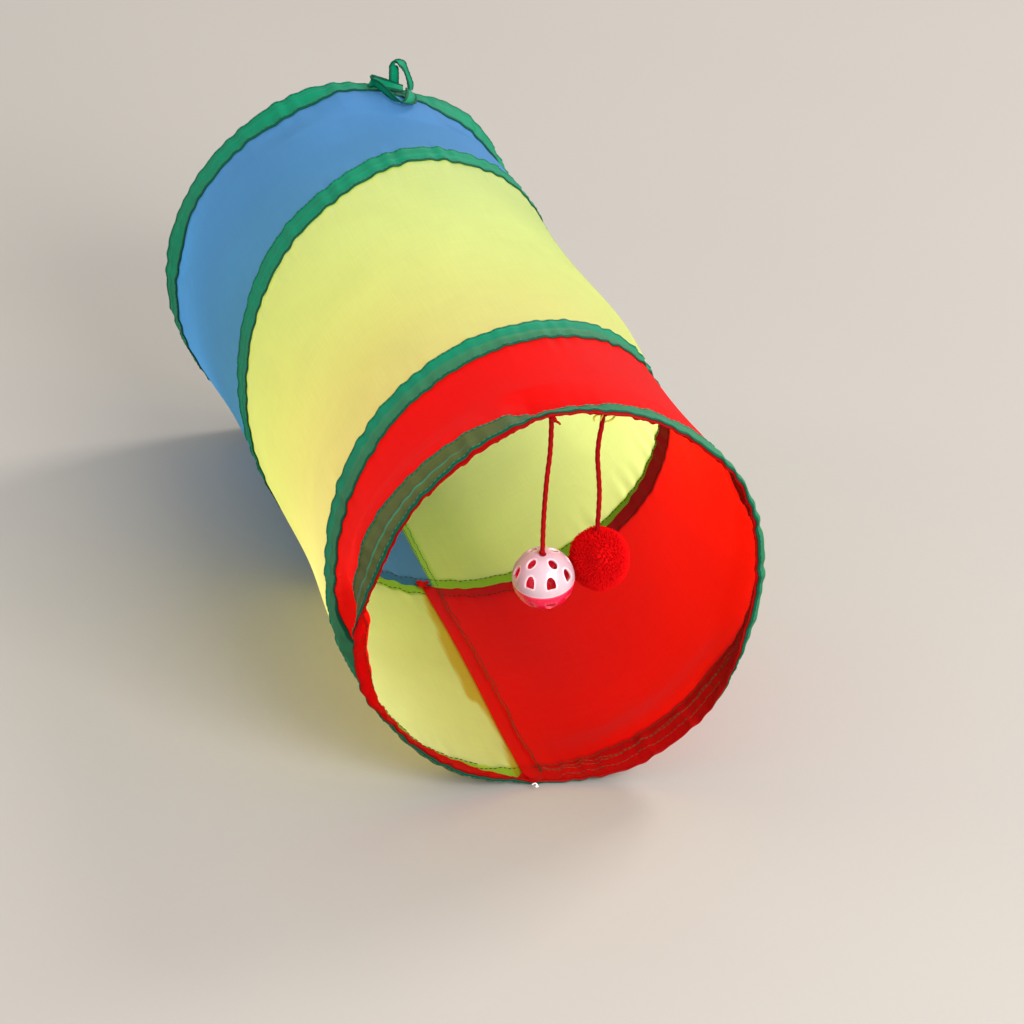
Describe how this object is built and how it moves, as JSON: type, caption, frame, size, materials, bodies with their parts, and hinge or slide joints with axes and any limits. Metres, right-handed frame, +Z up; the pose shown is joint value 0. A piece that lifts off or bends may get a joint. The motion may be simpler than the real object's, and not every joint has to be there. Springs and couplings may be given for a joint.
{
  "type": "cat tunnel",
  "caption": "Pop-open cloth play tunnel on a coiled spring wire, with open round ends, green binding, tie loops and toys hung in its mouth.",
  "frame": {"origin": "the flat on the floor under the middle of the tunnel, half-way between its two end hoops", "axes": "+Y along the tunnel from the open mouth with the toys to the far end, +Z up, +X to the right as the mouth is seen from inside looking along +Y"},
  "size_m": [0.2628, 0.5148, 0.2689],
  "materials": {
    "blue_cloth": "thin blue polyester taffeta, lets light through",
    "yellow_cloth": "thin yellow polyester taffeta, lets light through",
    "red_cloth": "thin red polyester taffeta, lets light through",
    "green_tape": "folded green polyester binding tape with a sewn edge",
    "red_cord": "soft dark red cord",
    "pearl_plastic": "pearly pale pink moulded plastic",
    "pink_plastic": "hot pink moulded plastic",
    "red_pile": "short dense red pile"
  },
  "bodies": {
    "root": {"panel_blue": "blue_cloth", "panel_yellow": "yellow_cloth", "panel_red": "red_cloth", "binding_far_hoop": "green_tape", "binding_coil_rear": "green_tape", "binding_coil_front": "green_tape", "binding_mouth_hoop": "green_tape", "loop_standing": "green_tape", "loop_lying": "green_tape", "string_ball": "red_cord", "string_pompom": "red_cord", "ball_upper": "pearl_plastic", "ball_lower": "pink_plastic", "pompom": "red_pile"}
  },
  "joints": []
}
